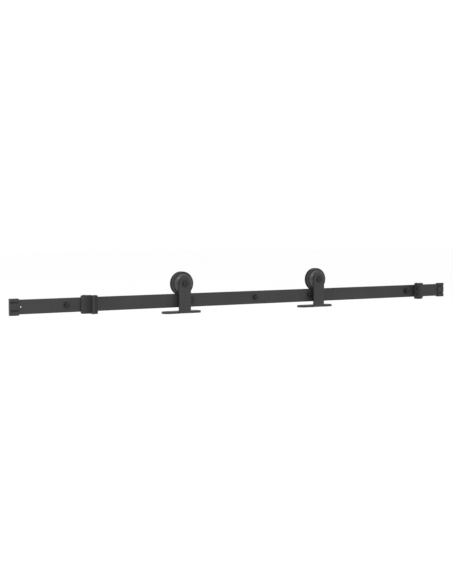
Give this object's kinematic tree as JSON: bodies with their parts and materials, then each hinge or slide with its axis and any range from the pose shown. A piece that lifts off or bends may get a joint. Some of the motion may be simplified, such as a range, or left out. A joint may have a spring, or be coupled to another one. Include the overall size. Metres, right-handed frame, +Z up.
{
  "type": "sliding barn door hardware",
  "caption": "Wall-mounted flat rail with roller hangers that carry a sliding door by its top edge, with adjustable rubber-faced end stops.",
  "frame": {"origin": "mid length of the rail, at its fixing line, on the wall plane where the spacers' rear faces bear", "axes": "+X along the rail to the right as seen from the room, +Y into the wall, +Z up"},
  "size_m": [1.53, 0.1069, 0.1226],
  "materials": {
    "coated_steel": "matt black powder coat with a fine texture",
    "black_fastener": "black oxide",
    "wheel_nylon": "semi-gloss moulded black nylon",
    "hub_cover": "satin black dome",
    "cap_plastic": "matt moulded plastic",
    "buffer_rubber": "matt black rubber",
    "bearing_steel": "ground bearing steel",
    "cage_brass": "pressed brass"
  },
  "bodies": {
    "rail": {"rail": "coated_steel", "end_cap_left": "cap_plastic", "end_cap_right": "cap_plastic", "wall_spacer_1": "coated_steel", "wall_spacer_2": "coated_steel", "wall_spacer_3": "coated_steel", "wall_spacer_4": "coated_steel", "wall_spacer_5": "coated_steel", "wall_lag_screws": "black_fastener", "wall_washers": "black_fastener"},
    "left_hanger": {"left_hanger_strap": "coated_steel", "left_axle_bolt": "black_fastener", "left_axle_spacer": "bearing_steel", "left_axle_washer": "black_fastener", "left_lock_nut": "black_fastener", "left_bearing_inner_ring": "bearing_steel"},
    "left_ball_set": {"left_bearing_balls": "bearing_steel", "left_bearing_cage": "cage_brass"},
    "left_wheel": {"left_bearing_outer_ring": "bearing_steel", "left_bearing_shields": "bearing_steel", "left_circlip": "black_fastener", "left_wheel": "wheel_nylon", "left_hub_cover": "hub_cover"},
    "right_hanger": {"right_hanger_strap": "coated_steel", "right_axle_bolt": "black_fastener", "right_axle_spacer": "bearing_steel", "right_axle_washer": "black_fastener", "right_lock_nut": "black_fastener", "right_bearing_inner_ring": "bearing_steel"},
    "right_ball_set": {"right_bearing_balls": "bearing_steel", "right_bearing_cage": "cage_brass"},
    "right_wheel": {"right_bearing_outer_ring": "bearing_steel", "right_bearing_shields": "bearing_steel", "right_circlip": "black_fastener", "right_wheel": "wheel_nylon", "right_hub_cover": "hub_cover"},
    "left_stop": {"left_stop_bracket": "coated_steel", "left_stop_clamp_plate": "coated_steel", "left_stop_clamp_screws": "black_fastener", "left_stop_buffer": "buffer_rubber", "left_stop_buffer_screws": "black_fastener"},
    "right_stop": {"right_stop_bracket": "coated_steel", "right_stop_clamp_plate": "coated_steel", "right_stop_clamp_screws": "black_fastener", "right_stop_buffer": "buffer_rubber", "right_stop_buffer_screws": "black_fastener"}
  },
  "joints": [
    {"name": "left_hanger_slide", "type": "slide", "parent": "rail", "child": "left_hanger", "axis": [1, 0, 0], "range_m": [-0.259, 0.17]},
    {"name": "right_hanger_slide", "type": "slide", "parent": "rail", "child": "right_hanger", "axis": [1, 0, 0], "range_m": [-0.17, 0.378]},
    {"name": "left_wheel_spin", "type": "hinge", "parent": "left_hanger", "child": "left_wheel", "pos_m": [-0.243, -0.033, 0.0495], "axis": [0, 1, 0], "continuous": true},
    {"name": "left_ball_set_spin", "type": "hinge", "parent": "left_hanger", "child": "left_ball_set", "pos_m": [-0.243, -0.033, 0.0495], "axis": [0, 1, 0], "continuous": true},
    {"name": "right_wheel_spin", "type": "hinge", "parent": "right_hanger", "child": "right_wheel", "pos_m": [0.2335, -0.033, 0.0495], "axis": [0, 1, 0], "continuous": true},
    {"name": "right_ball_set_spin", "type": "hinge", "parent": "right_hanger", "child": "right_ball_set", "pos_m": [0.2335, -0.033, 0.0495], "axis": [0, 1, 0], "continuous": true},
    {"name": "left_stop_slide", "type": "slide", "parent": "rail", "child": "left_stop", "axis": [1, 0, 0], "range_m": [-0.028, 0]},
    {"name": "right_stop_slide", "type": "slide", "parent": "rail", "child": "right_stop", "axis": [1, 0, 0], "range_m": [0, 0.055]}
  ],
  "couplings": [
    {"joint": "left_wheel_spin", "follows": "left_hanger_slide", "rad_per_m": 34.13},
    {"joint": "left_ball_set_spin", "follows": "left_hanger_slide", "rad_per_m": 21.126},
    {"joint": "right_wheel_spin", "follows": "right_hanger_slide", "rad_per_m": 34.13},
    {"joint": "right_ball_set_spin", "follows": "right_hanger_slide", "rad_per_m": 21.126}
  ]
}
